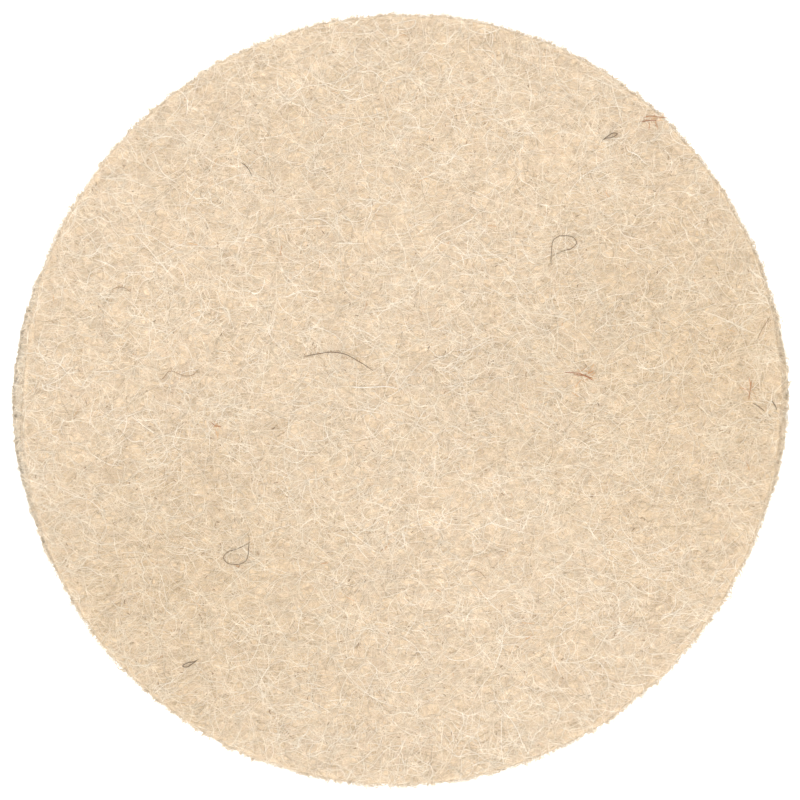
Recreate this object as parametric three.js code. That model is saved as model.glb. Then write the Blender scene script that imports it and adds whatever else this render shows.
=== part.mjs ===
// Felt polishing disc of the kind that is held by its back: a pressed wool felt pad, a hot-melt bonding film and a
// loop backing cloth that grips the hooks of a polishing machine's flat face plate. Millimetres, +Z up. The
// polishing face looks up, and the origin is the centre of the back, where the disc meets its plate.
import * as THREE from 'three';

// Driving dimensions
const discDiameter = 150;
const feltThickness = 6;
const filmThickness = 0.25;
const backingThickness = 1.75;

// Edges
const feltFaceEdgeRadius = 0.9; // worn round by use and handling
const feltBackEdgeRadius = 0.3; // left sharp by the cutting die
const backingEdgeRadius = 0.5; // the loops bend over at the cut
const filmSetback = 0.5; // the melted film stops just short of the rim
const backingSetback = 0.25; // the cloth is cut a little inside the felt

// Roundness of the solids: a multiple of four sides keeps the full diameter along X and Y
const sidesAround = 96;
const stepsPerCorner = 4;

// Heights of the layers, from the back up
const backingTop = backingThickness;
const filmTop = backingTop + filmThickness;
const feltTop = filmTop + feltThickness;
const discRadius = discDiameter / 2;

// A quarter round corner of a profile, from startAngle, anticlockwise, as points in (radius, height).
function quarterRound(centreRadius, centreHeight, cornerRadius, startAngle) {
  const points = [];
  for (let step = 0; step <= stepsPerCorner; step += 1) {
    const angle = startAngle + (step / stepsPerCorner) * (Math.PI / 2);
    points.push(new THREE.Vector2(
      centreRadius + cornerRadius * Math.cos(angle),
      centreHeight + cornerRadius * Math.sin(angle),
    ));
  }
  return points;
}

// A flat round layer with rounded lower and upper edges, turned about Z. Its profile starts and ends on the axis.
function turnedLayer(radius, bottom, top, lowerEdgeRadius, upperEdgeRadius) {
  const profile = [
    new THREE.Vector2(0, bottom),
    ...quarterRound(radius - lowerEdgeRadius, bottom + lowerEdgeRadius, lowerEdgeRadius, -Math.PI / 2),
    ...quarterRound(radius - upperEdgeRadius, top - upperEdgeRadius, upperEdgeRadius, 0),
    new THREE.Vector2(0, top),
  ];
  return new THREE.LatheGeometry(profile, sidesAround).rotateX(Math.PI / 2);
}

// A flat round layer with square edges, for a sheet too thin to round.
function turnedSheet(radius, bottom, top) {
  const profile = [
    new THREE.Vector2(0, bottom),
    new THREE.Vector2(radius, bottom),
    new THREE.Vector2(radius, top),
    new THREE.Vector2(0, top),
  ];
  return new THREE.LatheGeometry(profile, sidesAround).rotateX(Math.PI / 2);
}

function namedPiece(name, geometry, finish) {
  const piece = new THREE.Mesh(geometry, new THREE.MeshStandardMaterial(finish));
  piece.name = name;
  return piece;
}

// The polishing body: matted wool, cut to a disc, with a worn working edge.
function makeFeltDisc() {
  const geometry = turnedLayer(discRadius, filmTop, feltTop, feltBackEdgeRadius, feltFaceEdgeRadius);
  return namedPiece('felt_disc', geometry, { color: 0xe9d3b6, roughness: 0.95, metalness: 0 });
}

// The hot-melt film that laminates the felt to its backing cloth.
function makeBondingFilm() {
  const geometry = turnedSheet(discRadius - filmSetback, backingTop, filmTop);
  return namedPiece('bonding_film', geometry, { color: 0xd8c7a0, roughness: 0.45, metalness: 0 });
}

// The knitted loop cloth that the hooks of the face plate hold.
function makeLoopBacking() {
  const geometry = turnedLayer(discRadius - backingSetback, 0, backingTop, backingEdgeRadius, backingEdgeRadius / 2);
  return namedPiece('loop_backing', geometry, { color: 0xdccdb4, roughness: 0.9, metalness: 0 });
}

const polishingDisc = new THREE.Group();
polishingDisc.add(makeLoopBacking(), makeBondingFilm(), makeFeltDisc());

export default polishingDisc;
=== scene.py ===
import math

import bpy
import numpy as np
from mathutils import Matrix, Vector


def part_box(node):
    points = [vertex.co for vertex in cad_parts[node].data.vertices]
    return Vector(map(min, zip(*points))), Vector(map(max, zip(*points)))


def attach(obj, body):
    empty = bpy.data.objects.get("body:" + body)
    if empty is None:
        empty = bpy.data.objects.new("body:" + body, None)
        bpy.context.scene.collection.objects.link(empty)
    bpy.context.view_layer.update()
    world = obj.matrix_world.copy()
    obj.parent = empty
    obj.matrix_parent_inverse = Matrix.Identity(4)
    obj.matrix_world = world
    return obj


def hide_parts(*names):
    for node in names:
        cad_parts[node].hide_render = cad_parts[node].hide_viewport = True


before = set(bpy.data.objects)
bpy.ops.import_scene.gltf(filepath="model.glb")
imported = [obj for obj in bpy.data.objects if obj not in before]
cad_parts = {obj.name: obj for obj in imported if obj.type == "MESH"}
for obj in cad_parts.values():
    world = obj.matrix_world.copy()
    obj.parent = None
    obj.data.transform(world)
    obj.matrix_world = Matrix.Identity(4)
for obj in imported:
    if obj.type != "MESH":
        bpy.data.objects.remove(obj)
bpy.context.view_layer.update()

# A felt polishing disc lying on its loop backing, polishing face up. Lengths are metres, so mm turns
# millimetres into them. Every loose strand of wool, cut yarn end and loop is a closed tube of its own.
mm = 0.001
feltLow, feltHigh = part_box("felt_disc")
filmLow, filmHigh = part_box("bonding_film")
clothLow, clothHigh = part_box("loop_backing")
discRadius = (feltHigh[0] - feltLow[0]) / 2
fullTurn = 2 * math.pi


def waveField(seed, waves, shortest, longest, height, steepness=0.7):
    # a gentle random relief: plain waves in every direction, the long ones higher
    random = np.random.default_rng(seed)
    wavelength = np.exp(random.uniform(math.log(shortest), math.log(longest), waves))
    heading = random.uniform(0, fullTurn, waves)
    phase = random.uniform(0, fullTurn, waves)
    share = wavelength ** steepness
    share *= height / math.sqrt((share ** 2).sum() / 2)

    def at(x, y):
        total = np.zeros_like(x)
        for k in range(waves):
            along = x * math.cos(heading[k]) + y * math.sin(heading[k])
            total += share[k] * np.sin(fullTurn * along / wavelength[k] + phase[k])
        return total

    return at


def rimWaves(seed, waves, shortest, longest, height):
    # the same round a rim, where a whole number of waves fits the turn
    random = np.random.default_rng(seed)
    fewest, most = fullTurn * discRadius / longest, fullTurn * discRadius / shortest
    count = np.round(np.exp(random.uniform(math.log(fewest), math.log(most), waves)))
    rise = random.uniform(-1, 1, waves) * fullTurn / longest
    phase = random.uniform(0, fullTurn, waves)
    share = height / math.sqrt(waves / 2)

    def at(angle, z):
        total = np.zeros(np.broadcast(angle, z).shape)
        for k in range(waves):
            total += share * np.sin(count[k] * angle + rise[k] * z + phase[k])
        return total

    return at


def meshPiece(name, points, faceGroups, uv=None):
    # one mesh object from corner points and groups of faces that have the same number of corners
    mesh = bpy.data.meshes.new(name)
    mesh.vertices.add(len(points))
    mesh.vertices.foreach_set("co", np.asarray(points, np.float32).ravel())
    corners = np.concatenate([group.ravel() for group in faceGroups]).astype(np.int32)
    sizes = np.concatenate([np.full(len(group), group.shape[1]) for group in faceGroups])
    mesh.loops.add(len(corners))
    mesh.loops.foreach_set("vertex_index", corners)
    mesh.polygons.add(len(sizes))
    mesh.polygons.foreach_set("loop_start", (np.cumsum(sizes) - sizes).astype(np.int32))
    mesh.polygons.foreach_set("use_smooth", np.ones(len(sizes), bool))
    mesh.update(calc_edges=True)
    if uv is not None:
        layer = mesh.uv_layers.new(name="OFBake")
        layer.data.foreach_set("uv", np.asarray(uv, np.float32).ravel())
    piece = bpy.data.objects.new(name, mesh)
    bpy.context.scene.collection.objects.link(piece)
    return piece


def unit(vectors):
    return vectors / np.maximum(np.linalg.norm(vectors, axis=-1, keepdims=True), 1e-12)


def strandPiece(name, paths, width, sides=3, tip=0.45):
    # paths: strand, step, xyz; width: one for each strand. The tube's section is carried along without twist.
    strands, steps, _ = paths.shape
    anyWay, tapered = (0.31, 0.17, 0.93), 0.14
    ahead = unit(np.gradient(paths, axis=1))
    side = unit(np.cross(ahead[:, 0], anyWay))
    taper = np.interp(np.linspace(0, 1, steps), [0, tapered, 1 - tapered, 1], [tip, 1, 1, tip])
    turn = np.arange(sides) * fullTurn / sides
    rings = np.empty((strands, steps, sides, 3))
    for step in range(steps):
        side = unit(side - ahead[:, step] * (side * ahead[:, step]).sum(1, keepdims=True))
        up = np.cross(ahead[:, step], side)
        reach = (width / 2 * taper[step])[:, None, None]
        ring = side[:, None] * np.cos(turn)[:, None] + up[:, None] * np.sin(turn)[:, None]
        rings[:, step] = paths[:, step, None] + reach * ring
    first = np.arange(strands)[:, None, None] * steps * sides
    row = np.arange(steps - 1)[:, None] * sides
    now, after = np.arange(sides)[None], (np.arange(sides)[None] + 1) % sides
    wall = np.stack([row + now, row + after, row + sides + after, row + sides + now], -1)
    wall = (wall.reshape(-1, 4)[None] + first).reshape(-1, 4)
    ends = np.stack([np.arange(sides)[::-1], (steps - 1) * sides + np.arange(sides)])
    ends = (ends[None] + first).reshape(-1, sides)

    # each strand gets a thin bar of its own on the colour map: along it in u, round it in v
    columns, endMargin, sideMargin = 16, 0.02, 0.1
    bars = math.ceil(strands / columns)
    corner = np.stack([np.arange(strands) % columns / columns, np.arange(strands) // columns / bars], -1)
    along = np.repeat(np.arange(steps - 1), sides)
    about = np.tile(np.arange(sides), steps - 1)
    u = np.stack([along, along, along + 1, along + 1], -1) / (steps - 1)
    v = np.stack([about, about + 1, about + 1, about], -1) / sides
    inBar = np.stack([endMargin + (1 - 2 * endMargin) * u, sideMargin + (1 - 2 * sideMargin) * v], -1)
    wallUv = corner[:, None, None] + inBar[None] / [columns, bars]
    endUv = np.repeat(corner[:, None] + np.array([0.5, 0.5]) / [columns, bars], 2 * sides, 1)
    uv = np.concatenate([wallUv.reshape(-1, 2), endUv.reshape(-1, 2)])
    return meshPiece(name, rings.reshape(-1, 3), [wall, ends], uv)


def smoothLine(points, steps):
    # a smooth curve through given points
    points = np.asarray(points, float)
    padded = np.vstack([2 * points[0] - points[1], points, 2 * points[-1] - points[-2]])
    place = np.linspace(0, len(points) - 1.000001, steps)
    k, t = place.astype(int), (place % 1)[:, None]
    a, b, c, d = padded[k], padded[k + 1], padded[k + 2], padded[k + 3]
    square, cube = 2 * a - 5 * b + 4 * c - d, 3 * b - a - 3 * c + d
    return 0.5 * (2 * b + (c - a) * t + square * t ** 2 + cube * t ** 3)


def evenDisc(cells):
    # a square net drawn on a unit disc with cells of even size, and its rim in order round the disc
    line = np.linspace(-1, 1, cells + 1)
    u, v = np.meshgrid(line, line, indexing="ij")
    wide = np.abs(u) > np.abs(v)
    radius = np.where(wide, u, v)
    safe = np.where(np.abs(radius) < 1e-9, 1, radius)
    angle = np.where(wide, math.pi / 4 * v / safe, math.pi / 2 - math.pi / 4 * u / safe)
    number = np.arange((cells + 1) ** 2).reshape(cells + 1, cells + 1)
    faces = np.stack([number[:-1, :-1], number[1:, :-1], number[1:, 1:], number[:-1, 1:]], -1).reshape(-1, 4)
    rim = np.concatenate([number[-1, :-1], number[:0:-1, -1], number[0, :0:-1], number[:-1, 0]])
    return (radius * np.cos(angle)).ravel(), (radius * np.sin(angle)).ravel(), faces, rim


def roundBody(name, cells, netRadius, netHeight, rows, flip=False):
    # a closed round body: a fine net over its main face, rows of points down its wall, and a plain back.
    # netRadius(angle) is the net's edge, netHeight(x, y) its height, and a row is (radius, height) at angles.
    x, y, faces, rim = evenDisc(cells)
    angle = np.arctan2(y, x)
    share = np.hypot(x, y)
    edge = netRadius(angle)
    x, y = share * edge * np.cos(angle), share * edge * np.sin(angle)
    points = [np.stack([x, y, netHeight(x, y)], -1)]
    rimAngle = angle[rim]
    groups, last, count = [faces], rim, len(x)
    for row in rows:
        radius, height = row(rimAngle)
        points.append(np.stack([radius * np.cos(rimAngle), radius * np.sin(rimAngle),
                                np.broadcast_to(height, radius.shape)], -1))
        this = count + np.arange(len(rim))
        groups.append(np.stack([last, this, np.roll(this, -1), np.roll(last, -1)], -1))
        last, count = this, count + len(rim)
    points.append(np.array([[0, 0, points[-1][:, 2].mean()]]))
    fan = np.stack([last, np.full(len(rim), count), np.roll(last, -1)], -1)
    if flip:
        groups, fan = [group[:, ::-1] for group in groups], fan[:, ::-1]
    return meshPiece(name, np.concatenate(points), [np.concatenate(groups), fan])


def newFinish(name, roughness, sheen=0.0, specular=0.3):
    # a fresh material with its plain settings, its shader and the place on the object
    finish = bpy.data.materials.new(name)
    finish.use_nodes = True
    nodes = finish.node_tree.nodes
    shader = nodes["Principled BSDF"]
    shader.inputs["Roughness"].default_value = roughness
    shader.inputs["Specular IOR Level"].default_value = specular
    shader.inputs["Sheen Weight"].default_value = sheen
    shader.inputs["Sheen Roughness"].default_value = 0.6
    where = nodes.new("ShaderNodeTexCoord").outputs["Object"]
    return finish, shader, where


def squashed(finish, where, scale, turn=(0, 0, 0)):
    mapping = finish.node_tree.nodes.new("ShaderNodeMapping")
    mapping.inputs["Scale"].default_value = scale
    mapping.inputs["Rotation"].default_value = turn
    finish.node_tree.links.new(where, mapping.inputs["Vector"])
    return mapping.outputs["Vector"]


def noise(finish, where, size, detail=3, rough=0.55, distortion=0.0):
    # size is the width of one lump
    node = finish.node_tree.nodes.new("ShaderNodeTexNoise")
    node.inputs["Scale"].default_value = 1 / size
    node.inputs["Detail"].default_value = detail
    node.inputs["Roughness"].default_value = rough
    node.inputs["Distortion"].default_value = distortion
    finish.node_tree.links.new(where, node.inputs["Vector"])
    return node.outputs["Fac"]


def ramp(finish, value, stops):
    # stops: (place, colour), from low to high
    node = finish.node_tree.nodes.new("ShaderNodeValToRGB")
    while len(node.color_ramp.elements) < len(stops):
        node.color_ramp.elements.new(0.5)
    for element, (place, colour) in zip(node.color_ramp.elements, stops):
        element.position = place
        element.color = (*colour, 1)
    finish.node_tree.links.new(value, node.inputs["Fac"])
    return node.outputs["Color"]


def mixed(finish, share, under, over, way="MIX"):
    # share is a plain number or a socket
    node = finish.node_tree.nodes.new("ShaderNodeMix")
    node.data_type = "RGBA"
    node.blend_type = way
    for value, socket in ((share, node.inputs[0]), (under, node.inputs[6]), (over, node.inputs[7])):
        if isinstance(value, bpy.types.NodeSocket):
            finish.node_tree.links.new(value, socket)
        else:
            socket.default_value = value if isinstance(value, float) else (*value, 1)
    return node.outputs[2]


def between(finish, value, low, high, fromLow=0.3, fromHigh=0.7):
    node = finish.node_tree.nodes.new("ShaderNodeMapRange")
    for name, number in (("From Min", fromLow), ("From Max", fromHigh), ("To Min", low), ("To Max", high)):
        node.inputs[name].default_value = number
    finish.node_tree.links.new(value, node.inputs["Value"])
    return node.outputs["Result"]


def joined(finish, first, second, way="ADD"):
    node = finish.node_tree.nodes.new("ShaderNodeMath")
    node.operation = way
    for value, socket in ((first, node.inputs[0]), (second, node.inputs[1])):
        if isinstance(value, bpy.types.NodeSocket):
            finish.node_tree.links.new(value, socket)
        else:
            socket.default_value = value
    return node.outputs["Value"]


def bumped(finish, shader, height, depth, strength=0.8):
    node = finish.node_tree.nodes.new("ShaderNodeBump")
    node.inputs["Strength"].default_value = strength
    node.inputs["Distance"].default_value = depth
    finish.node_tree.links.new(height, node.inputs["Height"])
    finish.node_tree.links.new(node.outputs["Normal"], shader.inputs["Normal"])


def curlyLines(finish, where, size, thin):
    # thin curved lines, as matted fibres make them: the places where a noise crosses its middle
    value = noise(finish, where, size, detail=1.5, rough=0.5, distortion=0.6)
    off = joined(finish, joined(finish, value, 0.5, "SUBTRACT"), 0.0, "ABSOLUTE")
    return between(finish, off, 1.0, 0.0, 0.0, thin)


def feltFinish(name, look):
    # pressed wool: tan mottling with layers of paler curved lines, and layers seen edge-on at the rim
    finish, shader, where = newFinish(name, look["roughness"], look["sheen"])
    link = finish.node_tree.links.new
    mottle = noise(finish, where, look["mottle"], detail=5, rough=0.62)
    colour = ramp(finish, mottle, [(0.3, look["shade"]), (0.5, look["wool"]), (0.72, look["pale"])])
    lines = None
    for k, turn in enumerate(look["lineTurns"]):
        sheet = squashed(finish, where, look["lineSquash"], (0, 0, turn))
        layer = curlyLines(finish, sheet, look["line"] * (1 + look["lineGrowth"] * k), look["thin"])
        lines = layer if lines is None else joined(finish, lines, layer, "MAXIMUM")
    colour = mixed(finish, joined(finish, lines, look["lineShare"], "MULTIPLY"), colour, look["lineColour"])
    layers = noise(finish, squashed(finish, where, look["layerSquash"]), look["layer"], detail=3)
    layerTones = ramp(finish, layers, [(0.35, look["shade"]), (0.65, look["pale"])])
    colour = mixed(finish, look["layerShare"], colour, layerTones)
    link(driftedWithPaintedShade(finish, where, colour), shader.inputs["Base Color"])
    grain = noise(finish, where, look["grain"], detail=4, rough=0.7)
    worn = between(finish, grain, look["roughness"] - 0.08, look["roughness"] + 0.04)
    link(worn, shader.inputs["Roughness"])
    height = joined(finish, joined(finish, lines, 0.5, "MULTIPLY"), grain)
    bumped(finish, shader, joined(finish, height, joined(finish, layers, 0.6, "MULTIPLY")), look["depth"])
    return finish


# the colour drifts slowly at random, and in two wide places it is darkened with painted shade for the light
# falling off there
driftAndPaintedShade = {
    "amount": 0.03, "size": 48 * mm, "paintedShade": (0.935, 0.915, 0.87),
    "places": [((66 * mm, 6 * mm, 0), 56 * mm), ((-42 * mm, -36 * mm, 0), 42 * mm)],  # middle and reach
}


def driftedWithPaintedShade(finish, where, colour):
    # the wool drifts slowly between darker and paler at random, and takes painted shade in two wide places
    slow = noise(finish, where, driftAndPaintedShade["size"], detail=1)
    stops = [(0.35, (1 - driftAndPaintedShade["amount"],) * 3), (0.65, (1, 1, 1))]
    colour = mixed(finish, 1.0, colour, ramp(finish, slow, stops), "MULTIPLY")
    for middle, reach in driftAndPaintedShade["places"]:
        gap = finish.node_tree.nodes.new("ShaderNodeVectorMath")
        gap.operation = "DISTANCE"
        finish.node_tree.links.new(where, gap.inputs[0])
        gap.inputs[1].default_value = middle
        share = between(finish, gap.outputs["Value"], 1.0, 0.0, 0.0, reach)
        colour = mixed(finish, share, colour, driftAndPaintedShade["paintedShade"], "MULTIPLY")
    return colour


def strandFinish(name, tones, dull, uneven, scale, roughness, sheen, specular=0.3):
    # each strand takes a tone of its own from the ramp, and is a little uneven along its length
    finish, shader, where = newFinish(name, roughness, sheen, specular)
    link = finish.node_tree.links.new
    each = finish.node_tree.nodes.new("ShaderNodeNewGeometry").outputs["Random Per Island"]
    colour = ramp(finish, each, tones)
    mottle = noise(finish, where, uneven, detail=2)
    shade = ramp(finish, mottle, [(0.3, (dull,) * 3), (0.7, (1, 1, 1))])
    colour = driftedWithPaintedShade(finish, where, mixed(finish, 1.0, colour, shade, "MULTIPLY"))
    link(colour, shader.inputs["Base Color"])
    scales = noise(finish, where, scale, detail=2)
    worn = between(finish, scales, roughness - 0.1, roughness + 0.05)
    link(worn, shader.inputs["Roughness"])
    return finish


def dress(piece, finish):
    piece.data.materials.append(finish)
    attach(piece, "root")
    return piece


def strandPieces(name, paths, width, count, finish, tip):
    # strands shared out over several pieces, so that none grows too heavy
    made = []
    for number, part in enumerate(np.array_split(np.arange(len(paths)), count)):
        piece = strandPiece(f"{name}_{number + 1}", paths[part], width[part], tip=tip)
        made.append(dress(piece, finish))
    return made


studio = {
    "cameraHeight": 2.0, "widthSeen": 155.8 * mm, "sensor": 36.0, "farthest": 20.0,
    "lamps": [  # name, place, size, watts, tint
        ("soft_top", (-0.45, 0.60, 1.0), (1.3, 0.6), 12.6, (0.99, 1.0, 1.01)),
        ("soft_bottom", (0.35, -0.60, 1.0), (1.3, 0.6), 12.6, (0.99, 1.0, 1.01)),
        ("soft_left", (-0.9, 0.1, 1.5), (0.6, 0.9), 3.8, (0.99, 1.0, 1.01)),
        ("soft_right", (0.9, -0.1, 1.5), (0.6, 0.9), 2.6, (0.99, 1.0, 1.01)),
    ],
    "overhead": 0.56, "horizon": 0.92, "horizonEnds": (0.12, 0.45),  # the sky's strength, and its paler foot
    "floor": (0.93, 0.93, 0.93), "floorShade": 0.995, "floorSpeck": 4 * mm, "floorRoughness": 0.8,
    "floorGlow": 0.35, "floorHalf": 3.0,
}


def makeStudio():
    scene = bpy.context.scene
    scene.view_settings.view_transform = "Standard"
    camera = bpy.data.cameras.new("camera")
    camera.sensor_width = studio["sensor"]
    camera.lens = studio["sensor"] * (studio["cameraHeight"] - feltHigh[2]) / studio["widthSeen"]
    camera.clip_end = studio["farthest"]
    eye = bpy.data.objects.new("camera", camera)
    eye.location = (0, 0, studio["cameraHeight"])
    scene.collection.objects.link(eye)
    scene.camera = eye

    for name, place, size, watts, tint in studio["lamps"]:
        lamp = bpy.data.lights.new(name, "AREA")
        lamp.shape = "RECTANGLE"
        lamp.size, lamp.size_y = size
        lamp.energy = watts
        lamp.color = tint
        stand = bpy.data.objects.new(name, lamp)
        stand.location = place
        stand.rotation_euler = (-stand.location).to_track_quat("-Z", "Y").to_euler()
        scene.collection.objects.link(stand)

    sky = bpy.data.worlds.new("sky")
    sky.use_nodes = True
    nodes = sky.node_tree.nodes
    direction = nodes.new("ShaderNodeSeparateXYZ")
    sky.node_tree.links.new(nodes.new("ShaderNodeTexCoord").outputs["Generated"], direction.inputs[0])
    upward = direction.outputs["Z"]
    level = between(sky, upward, studio["horizon"], studio["overhead"], *studio["horizonEnds"])
    background = nodes["Background"]
    background.inputs["Color"].default_value = (1, 1, 1, 1)
    sky.node_tree.links.new(level, background.inputs["Strength"])
    scene.world = sky

    # the table top glows a little, as a light table does, so the disc throws hardly any shadow
    half = studio["floorHalf"]
    corners = np.array([(-half, -half, 0), (half, -half, 0), (half, half, 0), (-half, half, 0)])
    floor = meshPiece("table_top", corners, [np.arange(4)[None]])
    finish, shader, where = newFinish("pale_table", studio["floorRoughness"])
    speck = noise(finish, where, studio["floorSpeck"])
    shade = tuple(c * studio["floorShade"] for c in studio["floor"])
    tint = ramp(finish, speck, [(0.3, shade), (0.7, studio["floor"])])
    finish.node_tree.links.new(tint, shader.inputs["Base Color"])
    shader.inputs["Emission Color"].default_value = (1, 1, 1, 1)
    shader.inputs["Emission Strength"].default_value = studio["floorGlow"]
    floor.data.materials.append(finish)


makeStudio()
print("studio ready")


felt = {
    "meanRadius": discRadius - 0.35 * mm, "oval": 0.65 * mm, "ovalTurn": math.radians(65),
    "drawnIn": 0.10 * mm, "shifted": 0.48 * mm, "stretchNarrow": 16, "sway": 0.08 * mm, "tufts": 0.18 * mm,
    "sideFringe": 1.3, "fringe": 0.34 * mm, "fringeLongest": 1.2 * mm, "fringeBack": 0.1 * mm,
    "edgeRound": 0.6 * mm, "cells": 270, "bareBelow": 0.12 * mm, "bareBehind": 0.22 * mm,
    "lumps": 0.045 * mm, "pits": 0.02 * mm, "wallLumps": 0.07 * mm,
    "clear": 0.02 * mm, "edgeRows": 5, "wallRows": 12, "backInsets": (0.5 * mm, 3 * mm, 20 * mm, 50 * mm),
    # the matted body's colours are darker than the loose fibres laid over it: painted shade for the depth
    # under them
    "look": {
        "wool": (0.59, 0.45, 0.30), "pale": (0.67, 0.52, 0.36), "shade": (0.46, 0.33, 0.205),
        "lineColour": (0.80, 0.67, 0.50), "lineShare": 0.35,
        "mottle": 1.1 * mm, "line": 1.7 * mm, "thin": 0.035, "lineTurns": (0.2, 1.1, 1.9, 2.7),
        "lineSquash": (1, 2.6, 1.8), "lineGrowth": 0.23, "layerSquash": (1, 1, 7), "layerShare": 0.35,
        "layer": 2.2 * mm, "grain": 0.35 * mm, "depth": 0.12 * mm, "roughness": 0.93, "sheen": 0.12,
    },
}
feltLumps = waveField(11, 48, 5 * mm, 22 * mm, felt["lumps"])
feltPits = waveField(12, 56, 1.2 * mm, 4.5 * mm, felt["pits"])
wallLumps = rimWaves(13, 60, 1.6 * mm, 9 * mm, felt["wallLumps"])
rimSway = rimWaves(14, 24, 7 * mm, 40 * mm, felt["sway"])
rimTufts = rimWaves(15, 70, 0.9 * mm, 6 * mm, felt["tufts"])


def nearSides(angle):
    # one at the left and right ends of the disc, nothing elsewhere
    return np.abs(np.cos(angle)) ** felt["stretchNarrow"]


def dieCut(angle):
    # the line the die cut, a shade oval
    return felt["meanRadius"] + felt["oval"] * np.cos(2 * (angle - felt["ovalTurn"])) + rimSway(angle, 0)


def feltRim(angle):
    # the wool has drawn in a little at the sides, and sits a shade to the right of its cloth
    return dieCut(angle) + (felt["shifted"] * np.cos(angle) - felt["drawnIn"]) * nearSides(angle)


def bodyRim(angle):
    # the matted body ends a little inside the loose ends round it
    return feltRim(angle) - felt["bareBehind"]


def feltFace(x, y):
    # height of the matted body under the loose fibres, rounded down at the rim
    angle, radius = np.arctan2(y, x), np.hypot(x, y)
    past = np.clip(radius - (bodyRim(angle) - felt["edgeRound"]), 0, felt["edgeRound"])
    drop = felt["edgeRound"] - np.sqrt(np.maximum(felt["edgeRound"] ** 2 - past ** 2, 0))
    return feltHigh[2] - felt["bareBelow"] - drop + feltLumps(x, y) + feltPits(x, y)


def makeFeltBody():
    low = feltLow[2] + felt["clear"]
    justInside = 0.99999
    rows = []
    for step in range(1, felt["edgeRows"] + 1):
        turn = math.pi / 2 * step / felt["edgeRows"]
        inset = felt["edgeRound"] * (1 - math.sin(turn))

        def edgeRow(angle, inset=inset, share=step / felt["edgeRows"]):
            radius = bodyRim(angle) - inset
            height = feltFace(radius * np.cos(angle) * justInside, radius * np.sin(angle) * justInside)
            return radius + share * wallLumps(angle, height), height

        rows.append(edgeRow)
    top = feltHigh[2] - felt["bareBelow"] - felt["edgeRound"]
    for step in range(1, felt["wallRows"] + 1):
        height = top + (low - top) * step / felt["wallRows"]
        rows.append(lambda angle, height=height: (bodyRim(angle) + wallLumps(angle, height), height))
    for inset in felt["backInsets"]:
        rows.append(lambda angle, inset=inset: (bodyRim(angle) - inset, low))

    def netRim(angle):
        return bodyRim(angle) - felt["edgeRound"]

    body = roundBody("felt_body", felt["cells"], netRim, feltFace, rows)
    dress(body, feltFinish("pressed_wool", felt["look"]))
    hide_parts("felt_disc")


makeFeltBody()
print("felt body made")


fibreCourse = {
    "leftToRight": 0.22, "waves": (0.7, 2.2), "kinked": 0.12, "kinkPlace": (0.25, 0.75), "kinkTurn": 0.9,
    "lengthSpread": 0.35, "ripple": 0.03 * mm, "endsSunk": 0.16 * mm,
}


def wander(random, strands, steps, length, bend, swing):
    # strands laid in every direction, a little more of them left to right, each bent and waved in its plane
    start = random.uniform(0, fullTurn, strands)
    start -= fibreCourse["leftToRight"] * np.sin(2 * start)
    s = np.linspace(0, 1, steps)[None]
    turning = random.normal(0, bend, strands)[:, None] * (s - 0.5)
    waves = random.uniform(*fibreCourse["waves"], strands)[:, None]
    phase = random.uniform(0, 1, strands)[:, None]
    waving = random.normal(0, swing, strands)[:, None] * np.sin(fullTurn * (waves * s + phase))
    kinked = (random.uniform(0, 1, strands) < fibreCourse["kinked"])[:, None]
    kinked = kinked * (s > random.uniform(*fibreCourse["kinkPlace"], strands)[:, None])
    kink = kinked * random.normal(0, fibreCourse["kinkTurn"], strands)[:, None]
    heading = start[:, None] + turning + waving + kink
    stride = (np.exp(random.normal(0, fibreCourse["lengthSpread"], strands)) * length / (steps - 1))[:, None]
    x = np.cumsum(np.cos(heading) * stride, 1)
    y = np.cumsum(np.sin(heading) * stride, 1)
    place = np.sqrt(random.uniform(0, 1, strands)) * (felt["meanRadius"] + length / 2)
    toward = random.uniform(0, fullTurn, strands)
    x += (place * np.cos(toward))[:, None] - x.mean(1, keepdims=True)
    y += (place * np.sin(toward))[:, None] - y.mean(1, keepdims=True)
    return x, y


def cutAtRim(x, y, over):
    # a strand that crosses the rim is cut there, as the die cuts it, and its inner part stays
    steps, fine = x.shape[1], 6
    place = np.linspace(0, steps - 1, (steps - 1) * fine + 1)
    k = np.minimum(place.astype(int), steps - 2)
    x, y = (line[:, k] + (line[:, k + 1] - line[:, k]) * (place - k) for line in (x, y))
    step = np.arange(len(place))[None]
    angle = np.arctan2(y, x)
    ragged = rimTufts(angle, 0) + over[:, None] * (1 + felt["sideFringe"] * nearSides(angle))
    outside = np.hypot(x, y) > feltRim(angle) + ragged
    inmost = np.argmin(np.hypot(x, y), 1)[:, None]
    low = np.where(outside & (step <= inmost), step, -1).max(1) + 1
    high = np.where(outside & (step >= inmost), step, len(place)).min(1) - 1
    keep = high - low >= 2 * fine
    x, y, low, high = x[keep], y[keep], low[keep], high[keep]
    row = np.arange(len(x))[:, None]
    kept = np.round(low[:, None] + (high - low)[:, None] * np.linspace(0, 1, steps)[None]).astype(int)
    return x[row, kept], y[row, kept]


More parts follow.
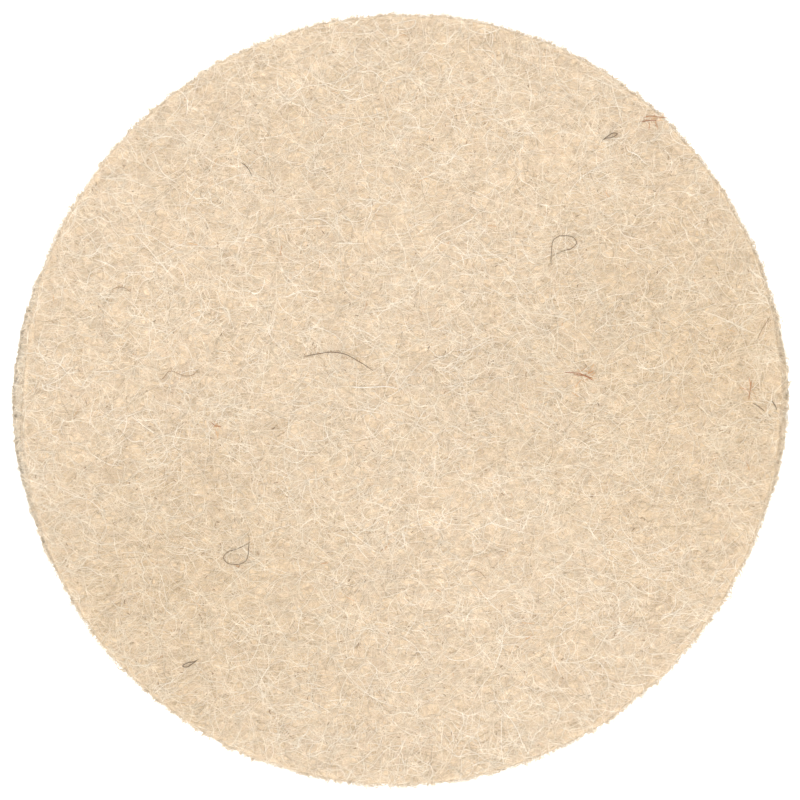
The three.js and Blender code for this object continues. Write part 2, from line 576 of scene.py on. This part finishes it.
# the one wool takes darker tones in the bed and low layers, as painted shade deep among the fibres, and paler
# tones in the upper layers, as painted light on top
bedShadedTones = [
    (0.0, (0.46, 0.34, 0.22)), (0.2, (0.65, 0.51, 0.35)),
    (0.7, (0.76, 0.60, 0.44)), (1.0, (0.83, 0.69, 0.53)),
]
deepShadedTones = [
    (0.0, (0.43, 0.31, 0.20)), (0.3, (0.60, 0.46, 0.31)),
    (0.7, (0.71, 0.56, 0.40)), (1.0, (0.79, 0.65, 0.49)),
]
woolTones = [
    (0.0, (0.46, 0.34, 0.22)), (0.12, (0.66, 0.53, 0.36)), (0.4, (0.78, 0.62, 0.465)),
    (0.6, (0.81, 0.67, 0.49)), (0.8, (0.86, 0.73, 0.55)), (1.0, (0.90, 0.80, 0.66)),
]
# the cut ends round the rim are painted paler than the face's wool, as painted light against the shade among
# them
rimLitTones = [
    (0.0, (0.62, 0.49, 0.34)), (0.15, (0.78, 0.64, 0.47)),
    (0.6, (0.86, 0.73, 0.55)), (1.0, (0.93, 0.84, 0.70)),
]
upperLitTones = [
    (0.0, (0.72, 0.57, 0.41)), (0.35, (0.82, 0.69, 0.53)),
    (0.75, (0.88, 0.77, 0.62)), (1.0, (0.93, 0.84, 0.71)),
]
topLitTones = [(0.0, (0.82, 0.70, 0.54)), (0.6, (0.88, 0.78, 0.63)), (1.0, (0.94, 0.86, 0.74))]
faceFibres = {
    "bed": {
        "seed": 27, "pieces": 3, "strands": 9600, "steps": 4, "length": 2.6 * mm, "bend": 1.2, "swing": 0.25,
        "width": (0.09 * mm, 0.13 * mm), "lift": (-0.08 * mm, 0.02 * mm), "arch": 0.02 * mm,
        "tones": bedShadedTones, "dull": 0.8,
    },
    "low": {
        "seed": 21, "pieces": 3, "strands": 3600, "steps": 7, "length": 6.5 * mm, "bend": 1.4, "swing": 0.35,
        "width": (0.09 * mm, 0.14 * mm), "lift": (-0.04 * mm, 0.04 * mm), "arch": 0.02 * mm,
        "tones": deepShadedTones, "dull": 0.78,
    },
    "middle": {
        "seed": 22, "pieces": 3, "strands": 4600, "steps": 8, "length": 7.0 * mm, "bend": 1.4, "swing": 0.35,
        "width": (0.08 * mm, 0.13 * mm), "lift": (0.02 * mm, 0.11 * mm), "arch": 0.04 * mm,
        "tones": woolTones, "dull": 0.82,
    },
    "short": {
        "seed": 24, "pieces": 4, "strands": 6150, "steps": 5, "length": 2.8 * mm, "bend": 1.4, "swing": 0.3,
        "width": (0.07 * mm, 0.115 * mm), "lift": (0.05 * mm, 0.17 * mm), "arch": 0.04 * mm,
        "tones": woolTones, "dull": 0.82,
    },
    "upper": {
        "seed": 23, "pieces": 2, "strands": 3400, "steps": 10, "length": 7.0 * mm, "bend": 1.8, "swing": 0.4,
        "width": (0.075 * mm, 0.12 * mm), "lift": (0.08 * mm, 0.18 * mm), "arch": 0.06 * mm,
        "tones": upperLitTones, "dull": 0.88,
    },
    "topmost": {
        "seed": 28, "pieces": 1, "strands": 2300, "steps": 11, "length": 6.5 * mm, "bend": 1.3, "swing": 0.3,
        "width": (0.08 * mm, 0.135 * mm), "lift": (0.14 * mm, 0.20 * mm), "arch": 0.06 * mm,
        "tones": topLitTones, "dull": 0.9,
    },
}


def makeFaceFibres(layer, look):
    random = np.random.default_rng(look["seed"])
    finish = strandFinish("wool_" + layer, look["tones"], look["dull"], uneven=1.5 * mm, scale=0.12 * mm,
                          roughness=0.85, sheen=0.15)
    for number in range(look["pieces"]):
        x, y = wander(random, look["strands"], look["steps"], look["length"], look["bend"], look["swing"])
        over = np.minimum(random.exponential(felt["fringe"], len(x)), felt["fringeLongest"])
        x, y = cutAtRim(x, y, over - felt["fringeBack"])
        strands = len(x)
        s = np.linspace(0, 1, look["steps"])[None]
        lift = random.uniform(*look["lift"], strands)[:, None]
        arch = look["arch"] * random.uniform(0, 1, strands)[:, None] * np.sin(math.pi * s)
        ripples = random.uniform(1, 3, strands)[:, None]
        phase = random.uniform(0, 1, strands)[:, None]
        ripple = fibreCourse["ripple"] * np.sin(fullTurn * (ripples * s + phase))
        sunk = fibreCourse["endsSunk"] * np.abs(2 * s - 1) ** 6
        z = feltFace(x, y) + lift + arch + ripple - sunk
        width = random.uniform(*look["width"], strands)
        piece = strandPiece(f"face_fibres_{layer}_{number + 1}", np.stack([x, y, z], -1), width)
        dress(piece, finish)


for layer, look in faceFibres.items():
    makeFaceFibres(layer, look)
print("face fibres laid")


# points are millimetres from the disc's centre, right and away
loopHair = [(28.7, 27.6), (31.7, 29.0), (33.4, 29.5), (34.4, 30.6), (33.9, 31.5), (33.2, 31.9), (32.0, 32.0),
            (31.0, 31.9), (30.0, 31.3), (29.6, 30.3), (29.5, 29.1), (29.4, 26.7), (29.8, 26.2)]
tangle = [(39.2, 50.4), (39.8, 50.9), (40.8, 51.6), (41.5, 52.0), (42.3, 51.9), (42.0, 51.5), (41.1, 51.1),
          (40.3, 51.0), (39.6, 50.7)]


def halfTurned(line):
    return [(-x, -y) for x, y in line]


singleHairs = {
    "dark": {
        "tones": [(0.0, (0.08, 0.045, 0.022)), (1.0, (0.16, 0.10, 0.055))], "lift": 0.4 * mm,
        "lines": [
            (0.13, [(-19.1, 8.4), (-16.5, 8.9), (-14.0, 9.3), (-12.6, 9.3), (-10.6, 8.9), (-8.7, 7.9),
                    (-6.7, 6.7), (-5.0, 5.5)]),
            (0.10, loopHair), (0.10, halfTurned(loopHair)),
            (0.13, tangle), (0.13, halfTurned(tangle)),
            (0.10, [(-31.1, 46.3), (-30.3, 45.8), (-29.6, 45.1), (-29.1, 44.2), (-28.9, 43.5)]),
            (0.12, [(68.7, -0.6), (69.7, -1.2), (70.4, -1.7), (71.0, -2.2)]),
            (0.12, [(72.4, -0.2), (73.0, -1.0), (73.4, -2.0)]),
        ],
    },
    "brown": {
        "tones": [(0.0, (0.24, 0.14, 0.075)), (1.0, (0.36, 0.22, 0.12))], "lift": 0.34 * mm,
        "lines": [
            (0.10, [(-46.9, 3.6), (-46.0, 4.4), (-45.2, 5.4), (-44.3, 5.6), (-43.1, 5.1), (-42.0, 4.7),
                    (-40.5, 4.8), (-39.6, 5.4), (-38.7, 5.4)]),
            (0.10, [(-56.2, 21.4), (-54.8, 22.0), (-53.4, 21.7), (-52.2, 20.8)]),
            (0.09, [(12.6, -33.8), (14.2, -33.1), (15.7, -33.6), (16.8, -34.9)]),
            (0.09, [(72.1, 16.3), (71.2, 14.9), (70.3, 13.4), (69.7, 12.0)]),
        ],
    },
    "rusty": {
        "tones": [(0.0, (0.30, 0.085, 0.045)), (1.0, (0.52, 0.25, 0.10))], "lift": 0.34 * mm,
        "lines": [
            (0.15, [(68.4, 3.8), (68.3, 2.6), (68.05, 0.9), (67.9, 0.1)]),
            (0.15, [(32.0, 5.4), (33.7, 5.3), (35.1, 5.1), (36.6, 4.4), (37.8, 3.7)]),
            (0.12, [(34.0, 4.9), (35.2, 4.8), (36.3, 4.7), (37.4, 4.2)]),
            (0.12, [(47.2, 54.9), (48.8, 55.3), (50.4, 55.1), (51.9, 55.0)]),
            (0.12, [(46.9, 54.2), (48.6, 54.4), (50.2, 54.5)]),
            (0.12, [(-36.8, -4.4), (-35.9, -5.0), (-34.8, -5.2)]),
        ],
    },
    "white": {
        "tones": [(0.0, (0.86, 0.77, 0.64)), (1.0, (0.93, 0.87, 0.77))], "lift": 0.3 * mm,
        "lines": [
            (0.16, [(-10.0, 2.6), (-7.4, 2.4), (-4.6, 2.55), (-2.4, 2.6), (-0.4, 2.2)]),
            (0.10, [(-5.4, 2.2), (-4.2, 0.7), (-2.4, -0.6), (0.0, -1.1), (2.4, -0.5)]),
            (0.10, [(-2.8, 0.4), (-1.2, 1.2), (0.6, 2.4), (2.0, 3.0), (2.9, 2.4)]),
            (0.10, [(-0.4, 2.1), (1.0, 4.0), (2.9, 6.1), (4.5, 7.9)]),
            (0.11, [(10.9, 7.0), (11.5, 8.4), (12.4, 9.3), (13.8, 9.9), (15.4, 10.6), (17.0, 11.5),
                    (19.8, 12.4)]),
            (0.10, [(10.9, 9.6), (12.6, 9.9), (14.2, 10.0), (16.6, 11.4)]),
            (0.11, [(-2.3, 72.3), (-1.6, 73.0), (-0.1, 73.5), (1.6, 73.8), (2.9, 74.0), (3.0, 73.3),
                    (2.7, 72.8), (1.9, 72.4), (0.6, 72.2), (-0.8, 72.1), (-2.1, 72.3)]),
            (0.11, [(13.4, 68.4), (15.7, 68.2), (17.1, 68.1), (18.1, 67.8), (18.5, 67.3), (18.5, 66.3),
                    (18.5, 64.8)]),
            (0.09, [(6.5, 13.2), (9.0, 13.6), (11.4, 12.6), (13.6, 13.4)]),
        ],
    },
}


hairShape = {"steps": 40, "sides": 6, "ripple": 0.02 * mm, "endsSunk": 0.08 * mm, "liftPower": 0.3}


def makeSingleHairs(kind, look):
    steps = hairShape["steps"]
    random = np.random.default_rng(len(kind))
    paths, widths = [], []
    for width, line in look["lines"]:
        flat = smoothLine(line, steps) * mm
        s = np.linspace(0, 1, steps)
        over = look["lift"] * np.sin(math.pi * s) ** hairShape["liftPower"]
        over += hairShape["ripple"] * np.sin(fullTurn * (2 * s + random.uniform()))
        sunk = hairShape["endsSunk"] * np.abs(2 * s - 1) ** 8
        height = feltFace(flat[:, 0], flat[:, 1]) + over - sunk
        paths.append(np.column_stack([flat, height]))
        widths.append(width * mm)
    finish = strandFinish(kind + "_hair", look["tones"], dull=0.7, uneven=1.2 * mm, scale=0.1 * mm,
                          roughness=0.6, sheen=0.0)
    piece = strandPiece(f"single_hairs_{kind}", np.array(paths), np.array(widths), hairShape["sides"])
    dress(piece, finish)


for kind, look in singleHairs.items():
    makeSingleHairs(kind, look)
print("single hairs laid")

# bits of burr, skin and dyed fibre caught in the wool: each spot is (x, y, how far they spread, how many)
caughtBits = {
    "specks": {
        "seed": 25, "scattered": 1700, "length": (0.25 * mm, 0.8 * mm), "width": (0.09 * mm, 0.19 * mm),
        "curl": 0.9, "lift": 0.24 * mm,
        "spots": [(6.5, 6.0, 0.5, 7), (24.4, 4.6, 0.3, 4), (-24.2, -4.8, 0.4, 5), (-10.7, 8.2, 0.3, 4),
                  (-36.4, -52.9, 0.5, 6), (43.4, 44.6, 0.4, 4), (-44.1, 13.5, 0.4, 4), (-7.8, -48.0, 0.5, 5)],
        "tones": [(0.0, (0.27, 0.18, 0.11)), (0.3, (0.44, 0.31, 0.20)), (1.0, (0.58, 0.43, 0.29))],
    },
    "tinted_bits": {
        "seed": 26, "scattered": 60, "length": (0.7 * mm, 2.2 * mm), "width": (0.08 * mm, 0.13 * mm),
        "curl": 0.7, "lift": 0.25 * mm,
        "spots": [(35.9, 5.0, 0.9, 14), (49.7, 54.8, 1.1, 12), (-35.9, -5.0, 0.8, 10), (68.3, 1.9, 0.5, 6)],
        "tones": [(0.0, (0.58, 0.29, 0.13)), (0.5, (0.74, 0.44, 0.22)), (1.0, (0.80, 0.56, 0.34))],
    },
}


bitShape = {"steps": 6, "sides": 5, "liftShare": (0.3, 1), "fromRim": 2 * mm}


def makeCaughtBits(kind, look):
    random = np.random.default_rng(look["seed"])
    reach = np.sqrt(random.uniform(0, 1, look["scattered"])) * (felt["meanRadius"] - bitShape["fromRim"])
    toward = random.uniform(0, fullTurn, look["scattered"])
    centres = [np.stack([reach * np.cos(toward), reach * np.sin(toward)], -1)]
    for x, y, spread, number in look["spots"]:
        centres.append(np.array([x, y]) * mm + random.normal(0, spread / 2, (number, 2)) * mm)
    centres = np.concatenate(centres)
    count, steps = len(centres), bitShape["steps"]
    s = np.linspace(-0.5, 0.5, steps)[None]
    heading = random.uniform(0, fullTurn, count)[:, None] + random.normal(0, look["curl"], count)[:, None] * s
    stride = random.uniform(*look["length"], count)[:, None] / (steps - 1)
    x = centres[:, :1] + np.cumsum(np.cos(heading) * stride, 1)
    y = centres[:, 1:] + np.cumsum(np.sin(heading) * stride, 1)
    z = feltFace(x, y) + look["lift"] * random.uniform(*bitShape["liftShare"], count)[:, None]
    finish = strandFinish(kind, look["tones"], dull=0.75, uneven=0.4 * mm, scale=0.1 * mm,
                          roughness=0.75, sheen=0.0)
    width = random.uniform(*look["width"], count)
    piece = strandPiece(kind, np.stack([x, y, z], -1), width, bitShape["sides"])
    dress(piece, finish)


for kind, look in caughtBits.items():
    makeCaughtBits(kind, look)
print("specks and tinted bits laid")


rimWool = {
    "seed": 31, "tuftSpacing": 1.0 * mm, "tuftRows": 6, "ends": 15000, "endPieces": 3,
    "endShortest": 0.3 * mm, "endSpread": 0.38 * mm, "endLongest": 1.4 * mm, "sideFringe": 0.5,
    "tuftReach": (0.6, 1.2), "rooted": 0.45 * mm,
    "tuftWobble": 0.2, "rowLean": 0.12, "offTuft": 0.17, "offRow": 0.28,
    "endSteps": 6, "endCurl": 0.25, "endTip": 0.6, "slew": (0.35, 0.4), "rise": (0.3, 0.4),
    "laid": 3200, "laidLength": (2.5 * mm, 6.0 * mm), "laidOff": 0.14 * mm, "width": (0.07 * mm, 0.13 * mm),
    "laidSteps": 10, "laidSlope": 0.22, "laidWave": 0.22 * mm, "laidRipple": 0.03 * mm, "laidSunk": 0.15 * mm,
}


def onRim(angle, out, z):
    # a point at that distance outside the felt's rim
    radius = feltRim(angle) + out
    return np.stack([radius * np.cos(angle), radius * np.sin(angle), z], -1)


def makeRimEnds(look, finish, low, high):
    # cut ends stand out in small tufts, row above row, and a tuft that reaches out does so in every row
    random = np.random.default_rng(look["seed"])
    ends, steps = look["ends"], look["endSteps"]
    around = round(fullTurn * discRadius / look["tuftSpacing"])
    tuft, row = random.integers(0, around, ends), random.integers(0, look["tuftRows"], ends)
    wobble = random.normal(0, look["tuftWobble"], around)
    reach = random.uniform(*look["tuftReach"], around)
    place = tuft + wobble[tuft] + look["rowLean"] * row + random.normal(0, look["offTuft"], ends)
    angle = place * fullTurn / around
    z = low + (high - low) * (row + 0.5 + random.normal(0, look["offRow"], ends)) / look["tuftRows"]
    spread = np.minimum(random.exponential(look["endSpread"], ends), look["endLongest"])
    length = (look["endShortest"] + spread) * reach[tuft]
    length = (length * (1 + look["sideFringe"] * nearSides(angle)))[:, None]
    s = np.linspace(0, 1, steps)[None]
    out = -look["rooted"] + (length + look["rooted"] / 2) * (s - look["endCurl"] * s ** 2)
    out += s * rimTufts(angle, 0)[:, None]

    def strayed(first, second):
        turned = random.normal(0, first, ends)[:, None]
        return length * (turned * s + random.normal(0, second, ends)[:, None] * s ** 2)

    slew = strayed(*look["slew"])
    rise = strayed(*look["rise"])
    paths = onRim(angle[:, None] + slew / discRadius, out, np.clip(z, low, high)[:, None] + rise)
    width = random.uniform(*look["width"], ends)
    strandPieces("rim_ends", paths, width, look["endPieces"], finish, look["endTip"])


def makeRimStrands(look, finish, low, high):
    # longer strands lie along the cut, more level than steep
    random = np.random.default_rng(look["seed"] + 1)
    laid, steps = look["laid"], look["laidSteps"]
    length = random.uniform(*look["laidLength"], laid)[:, None]
    s = np.linspace(-0.5, 0.5, steps)[None]
    slope = random.normal(0, look["laidSlope"], laid)[:, None]
    angle = random.uniform(0, fullTurn, laid)[:, None] + s * length / discRadius
    waves = random.uniform(0.5, 2, laid)[:, None]
    wave = np.sin(fullTurn * (waves * s + random.uniform(0, 1, laid)[:, None]))
    z = random.uniform(low, high, laid)[:, None] + slope * s * length + look["laidWave"] * wave
    z = np.clip(z, low, high)
    over = random.uniform(0, look["laidOff"], laid)[:, None]
    out = wallLumps(angle, z) - felt["bareBehind"] + over * (1 - (2 * s) ** 2)
    out += look["laidRipple"] * wave - look["laidSunk"] * (2 * np.abs(s)) ** 6
    piece = strandPiece("rim_strands", onRim(angle, out, z), random.uniform(*look["width"], laid))
    dress(piece, finish)


def makeRimWool(look):
    finish = strandFinish("wool_rim", rimLitTones, dull=0.82, uneven=1.0 * mm, scale=0.12 * mm,
                          roughness=0.88, sheen=0.12)
    low, high = feltLow[2] + 0.1 * mm, feltHigh[2] - 0.45 * mm
    makeRimEnds(look, finish, low, high)
    makeRimStrands(look, finish, low, high)


makeRimWool(rimWool)
print("rim wool laid")

film = {
    "setBack": 0.30 * mm, "squeezed": 0.10 * mm, "clear": 0.01 * mm, "cells": 60,
    "bulge": 0.08 * mm, "bulgeEnds": 0.8, "bulgeIn": 0.06 * mm,
    "cloud": 1.4 * mm, "ripple": 0.5 * mm, "rippleDepth": 0.06 * mm, "worn": (0.28, 0.5),
    "tones": [(0.35, (0.52, 0.40, 0.24)), (0.65, (0.66, 0.54, 0.35))], "roughness": 0.38,
}
filmWaves = rimWaves(41, 30, 1.5 * mm, 12 * mm, film["squeezed"])


def filmRim(angle):
    return feltRim(angle) - film["setBack"] + filmWaves(angle, 0)


def makeFilm():
    low, high = filmLow[2] + film["clear"], filmHigh[2] - film["clear"]
    bulge, bulgeEnds = film["bulge"], film["bulge"] * film["bulgeEnds"]
    rows = [
        lambda angle: (filmRim(angle) + bulgeEnds, high - film["bulgeIn"]),
        lambda angle: (filmRim(angle) + bulge, (low + high) / 2),
        lambda angle: (filmRim(angle) + bulgeEnds, low + film["bulgeIn"]),
        lambda angle: (filmRim(angle), low),
        lambda angle: (filmRim(angle) * 0.5, low),
    ]
    sheet = roundBody("melt_film", film["cells"], filmRim, lambda x, y: np.full_like(x, high), rows)
    finish, shader, where = newFinish("melt_film", film["roughness"], specular=0.5)
    cloudy = noise(finish, where, film["cloud"], detail=3)
    finish.node_tree.links.new(ramp(finish, cloudy, film["tones"]), shader.inputs["Base Color"])
    ripple = noise(finish, where, film["ripple"], detail=2)
    finish.node_tree.links.new(between(finish, ripple, *film["worn"]), shader.inputs["Roughness"])
    bumped(finish, shader, ripple, film["rippleDepth"])
    dress(sheet, finish)
    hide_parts("bonding_film")


makeFilm()
print("film made")


cloth = {
    "thickness": 0.5 * mm, "clear": 0.01 * mm, "setBack": 0.20 * mm, "creep": 1.58 * mm,
    "rib": 1.0 * mm, "ragged": 0.10 * mm, "ribHeight": 0.09 * mm, "ribShare": 0.6, "cells": 260,
    "bumpsPerRib": 0.8, "stagger": 0.25,
    "look": {
        # gap is painted shade for the hollows between stitches
        "yarn": (0.65, 0.56, 0.44), "gap": (0.575, 0.49, 0.38), "pale": (0.70, 0.61, 0.49), "roughness": 0.8,
        "sheen": 0.2, "waver": 3.0, "worn": 3 * mm, "fuzz": 0.15 * mm, "depth": 0.12 * mm,
    },
}
loops = {
    "seed": 51, "spacing": 1.25 * mm, "steps": 7, "opening": (0.9 * mm, 1.7 * mm), "lean": 0.6 * mm,
    "width": (0.08 * mm, 0.13 * mm), "floorGap": 0.06 * mm, "fromRim": 1.1 * mm, "pieces": 3,
    "tip": 1.0, "offPlace": 0.2, "rooted": 0.12 * mm, "depth": (0.72, 1.0), "rounded": 0.55, "twist": 0.5,
    "tones": [(0.0, (0.68, 0.60, 0.48)), (0.5, (0.80, 0.73, 0.61)), (1.0, (0.90, 0.85, 0.75))],
}
yarnEnds = {
    "seed": 52, "spacing": 1.05 * mm, "filaments": (9, 28), "pieces": 2,
    "length": (0.6 * mm, 1.4 * mm), "tuftReach": (0.72, 1.26),
    "rooted": 0.6 * mm, "rise": 0.55, "width": (0.07 * mm, 0.12 * mm), "steps": 6, "curl": 0.2, "tip": 0.6,
    "tuftWobble": 0.25, "offTuft": 0.2, "fan": 0.3, "riseSpread": 0.4, "offFloor": 0.15 * mm,
    "tones": [(0.0, (0.68, 0.59, 0.465)), (0.5, (0.81, 0.73, 0.595)), (1.0, (0.89, 0.825, 0.71))],
}
groundTop = clothHigh[2] - cloth["clear"]
groundLow = clothHigh[2] - cloth["thickness"]
clothRagged = rimWaves(53, 40, 1.2 * mm, 6 * mm, cloth["ragged"])


def clothRim(angle):
    # cut with the felt, then crept out a little along the stretchy way of the knit, left and right
    return dieCut(angle) - cloth["setBack"] + cloth["creep"] * nearSides(angle)


def knit(x, y):
    # rows of stitches on the underside: ribs across, and bumps along each rib
    across = np.cos(fullTurn * x / cloth["rib"])
    stagger = cloth["stagger"] * np.sign(across)
    along = np.cos(fullTurn * (y / cloth["rib"] * cloth["bumpsPerRib"] + stagger))
    share = cloth["ribShare"]
    return cloth["ribHeight"] * (share * across + (1 - share) * across * along)


def clothFinish(name, look):
    finish, shader, where = newFinish(name, look["roughness"], look["sheen"])
    link = finish.node_tree.links.new
    # a wave texture of scale 1 repeats every 2 pi / 20 metres
    bands = []
    for direction, pitch, ragged in (("X", 1.0, 3.0), ("Y", 1.6, 1.0)):
        wave = finish.node_tree.nodes.new("ShaderNodeTexWave")
        wave.wave_type, wave.bands_direction = "BANDS", direction
        wave.inputs["Scale"].default_value = fullTurn / 20 / cloth["rib"] * pitch
        wave.inputs["Distortion"].default_value = look["waver"]
        wave.inputs["Detail Scale"].default_value = ragged
        link(where, wave.inputs["Vector"])
        bands.append(wave.outputs["Fac"])
    stitch = joined(finish, *bands, "MULTIPLY")
    # the gaps between stitches are painted darker, as painted shade in those hollows, and the stitch crowns
    # are paler
    colour = ramp(finish, stitch, [(0.05, look["gap"]), (0.35, look["yarn"]), (0.9, look["pale"])])
    worn = noise(finish, where, look["worn"], detail=3)
    shade = ramp(finish, worn, [(0.3, (0.86,) * 3), (0.7, (1, 1, 1))])
    colour = mixed(finish, 1.0, colour, shade, "MULTIPLY")
    link(colour, shader.inputs["Base Color"])
    fuzz = noise(finish, where, look["fuzz"], detail=3)
    link(between(finish, fuzz, look["roughness"] - 0.1, look["roughness"] + 0.1), shader.inputs["Roughness"])
    bumped(finish, shader, joined(finish, stitch, joined(finish, fuzz, 0.4, "MULTIPLY")), look["depth"])
    return finish


def makeGroundCloth():
    rows = []
    middle, half = (groundTop + groundLow) / 2, (groundTop - groundLow) / 2
    for step in range(1, 5):
        turn = math.pi * step / 5

        def edgeRow(angle, turn=turn):
            height = middle - half * math.cos(turn)
            return clothRim(angle) + half / 2 * math.sin(turn) + clothRagged(angle, height), height

        rows.append(edgeRow)
    rows.append(lambda angle: (clothRim(angle), groundTop))
    rows.append(lambda angle: (clothRim(angle) * 0.5, groundTop))

    def underside(x, y):
        return groundLow + knit(x, y)

    sheet = roundBody("ground_cloth", cloth["cells"], clothRim, underside, rows, flip=True)
    dress(sheet, clothFinish("knitted_ground", cloth["look"]))
    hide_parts("loop_backing")
    return sheet


def makeLoops(look):
    random = np.random.default_rng(look["seed"])
    reach = math.ceil(discRadius / look["spacing"]) + 1
    column, row = np.meshgrid(np.arange(-reach, reach + 1), np.arange(-reach, reach + 1))
    x = (column + 0.5 * (row % 2)).ravel() * look["spacing"]
    y = row.ravel() * look["spacing"] * math.sqrt(0.75)
    x = x + random.normal(0, look["offPlace"], len(x)) * look["spacing"]
    y = y + random.normal(0, look["offPlace"], len(y)) * look["spacing"]
    keep = np.hypot(x, y) < clothRim(np.arctan2(y, x)) - look["fromRim"]
    x, y = x[keep], y[keep]
    count, steps = len(x), look["steps"]
    t = np.linspace(0, 1, steps)[None]
    facing = random.uniform(0, fullTurn, count)[:, None]
    opening = random.uniform(*look["opening"], count)[:, None] / 2
    root = groundLow + look["rooted"]
    deepest = root - look["floorGap"] - clothLow[2]
    depth = deepest * random.uniform(*look["depth"], count)[:, None]
    over = -np.cos(math.pi * t) * opening * (1 + look["rounded"] * np.sin(math.pi * t))
    lean = random.normal(0, look["lean"] / 2, (count, 2))
    sag = np.sin(math.pi * t) ** 0.85
    twist = random.normal(0, look["twist"], count)[:, None] * np.sin(math.pi * t)
    loopX = x[:, None] + over * np.cos(facing + twist) + lean[:, :1] * sag
    loopY = y[:, None] + over * np.sin(facing + twist) + lean[:, 1:] * sag
    paths = np.stack([loopX, loopY, root - depth * sag], -1)
    width = random.uniform(*look["width"], count)
    finish = strandFinish("loop_yarn", look["tones"], dull=0.82, uneven=0.8 * mm, scale=0.15 * mm,
                          roughness=0.6, sheen=0.2, specular=0.4)
    return strandPieces("loop_pile", paths, width, look["pieces"], finish, look["tip"])


def makeYarnEnds(look):
    # the knit's cut yarns bristle out in uneven tufts all round, and fray upwards beside the felt
    random = np.random.default_rng(look["seed"])
    tufts, steps = round(fullTurn * discRadius / look["spacing"]), look["steps"]
    tuft = np.repeat(np.arange(tufts), random.integers(*look["filaments"], tufts))
    count = len(tuft)
    middle = (tuft + random.normal(0, look["tuftWobble"], tufts)[tuft]) * fullTurn / tufts
    angle = (middle + random.normal(0, look["offTuft"], count) * fullTurn / tufts)[:, None]
    s = np.linspace(0, 1, steps)[None]
    reach = random.uniform(*look["tuftReach"], tufts)[tuft]
    length = (random.uniform(*look["length"], count) * reach)[:, None]
    out = -look["rooted"] + length * (s - look["curl"] * s ** 2)
    turned, curled = (random.normal(0, look["fan"], count)[:, None] for _ in range(2))
    fan = length * (turned * s + curled * s ** 2)
    rise = length * s * random.normal(look["rise"], look["riseSpread"], count)[:, None]
    floor = clothLow[2] + look["offFloor"]
    z = np.maximum(random.uniform(groundLow, groundTop, count)[:, None] + rise, floor)
    radius = clothRim(angle) + out
    around = angle + fan / discRadius
    paths = np.stack([radius * np.cos(around), radius * np.sin(around), z], -1)
    finish = strandFinish("cut_yarn", look["tones"], dull=0.8, uneven=0.8 * mm, scale=0.12 * mm,
                          roughness=0.8, sheen=0.1)
    width = random.uniform(*look["width"], count)
    return strandPieces("cut_yarn_ends", paths, width, look["pieces"], finish, look["tip"])


ground = makeGroundCloth()
pile = makeLoops(loops) + makeYarnEnds(yarnEnds)
clothArea = float(np.mean(clothRim(np.linspace(0, fullTurn, 720)) ** 2) * math.pi)
print("loop backing made")
